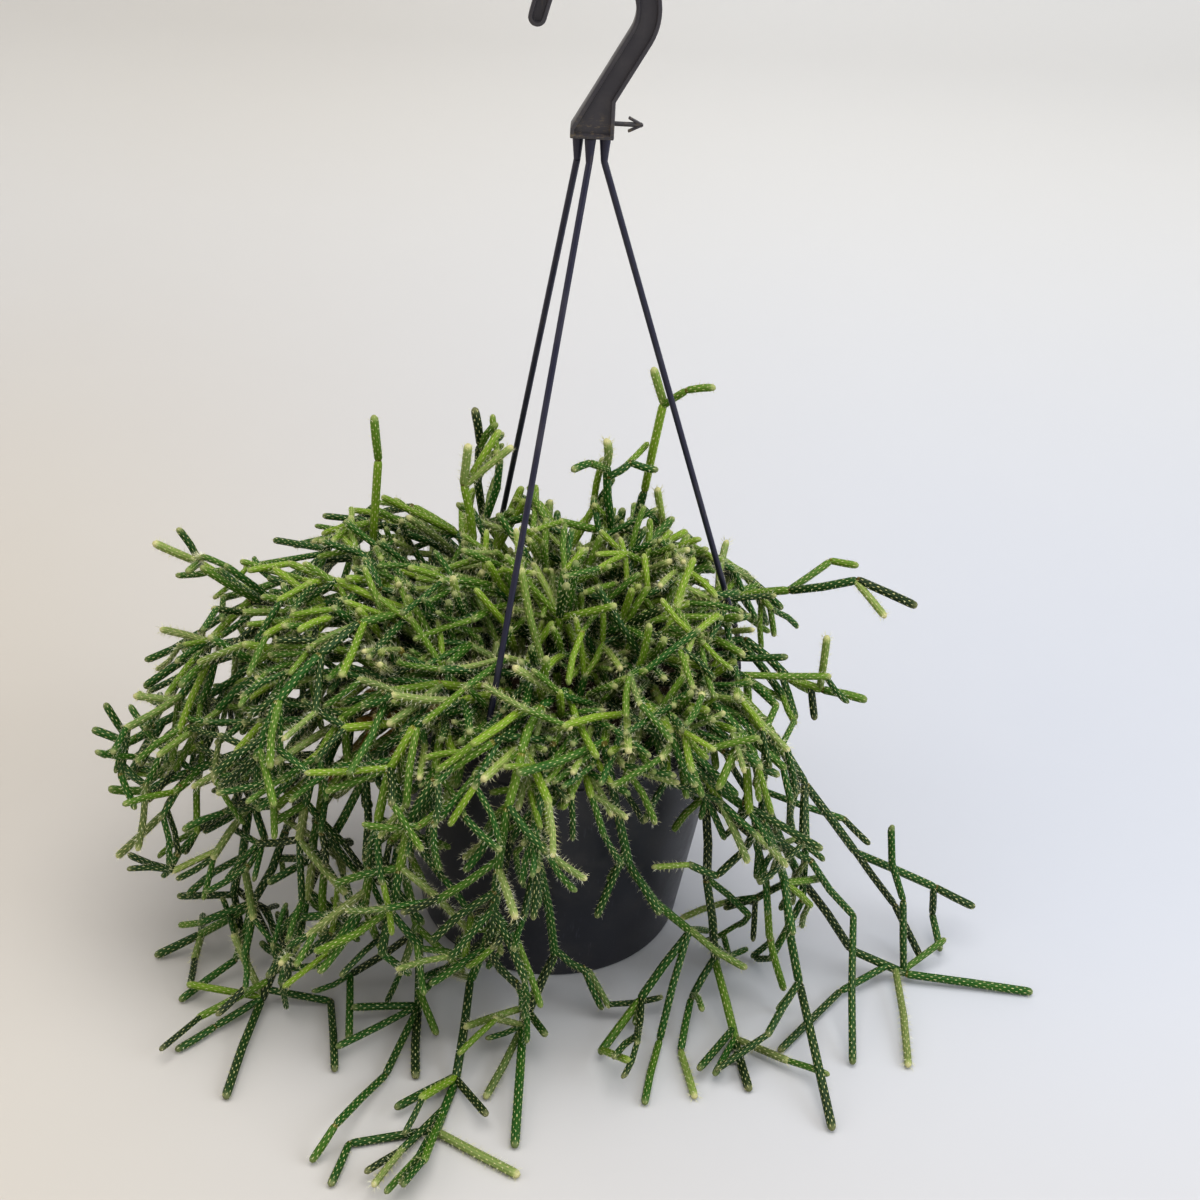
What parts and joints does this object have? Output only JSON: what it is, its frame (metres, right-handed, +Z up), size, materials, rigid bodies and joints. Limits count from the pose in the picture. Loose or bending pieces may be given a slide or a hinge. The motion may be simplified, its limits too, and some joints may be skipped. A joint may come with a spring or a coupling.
{
  "type": "potted rhipsalis pilocarpa",
  "caption": "Leafless branching cactus with bristly round stems that trail from a tapered plastic hanging pot, which stands on its base with hook and straps upright.",
  "frame": {"origin": "centre of the pot's base, on the surface that the pot stands on", "axes": "+Z up, +X to the right of the front view, -Y towards the front; the hook lies in the XZ plane"},
  "size_m": [0.4593, 0.3138, 0.4749],
  "materials": {
    "pot_plastic": "matte, lightly scuffed",
    "soil": "rough, crumbly",
    "hanger_plastic": "satin",
    "stem": "satin, with pale bristly areoles"
  },
  "bodies": {
    "root": {"pot": "pot_plastic", "soil": "soil", "hanger_hook": "hanger_plastic", "strap_left": "hanger_plastic", "strap_front": "hanger_plastic", "strap_right": "hanger_plastic", "spray_01": "stem", "spray_02": "stem", "spray_03": "stem", "spray_04": "stem", "spray_05": "stem", "spray_06": "stem", "spray_07": "stem", "spray_08": "stem", "spray_09": "stem", "spray_10": "stem", "spray_11": "stem", "spray_12": "stem", "spray_13": "stem", "spray_14": "stem", "spray_15": "stem", "spray_16": "stem", "spray_17": "stem", "spray_18": "stem", "spray_19": "stem", "spray_20": "stem", "spray_21": "stem", "spray_22": "stem", "spray_23": "stem", "spray_24": "stem", "spray_25": "stem", "spray_26": "stem", "spray_27": "stem", "spray_28": "stem", "spray_29": "stem", "spray_30": "stem", "spray_31": "stem", "spray_32": "stem", "spray_33": "stem", "spray_34": "stem", "spray_35": "stem", "spray_36": "stem", "spray_37": "stem", "spray_38": "stem", "spray_39": "stem", "spray_40": "stem", "spray_41": "stem", "spray_42": "stem", "spray_43": "stem", "spray_44": "stem", "spray_45": "stem", "spray_46": "stem", "spray_47": "stem", "spray_48": "stem", "spray_49": "stem", "spray_50": "stem", "spray_51": "stem", "spray_52": "stem", "spray_53": "stem", "spray_54": "stem"}
  },
  "joints": []
}
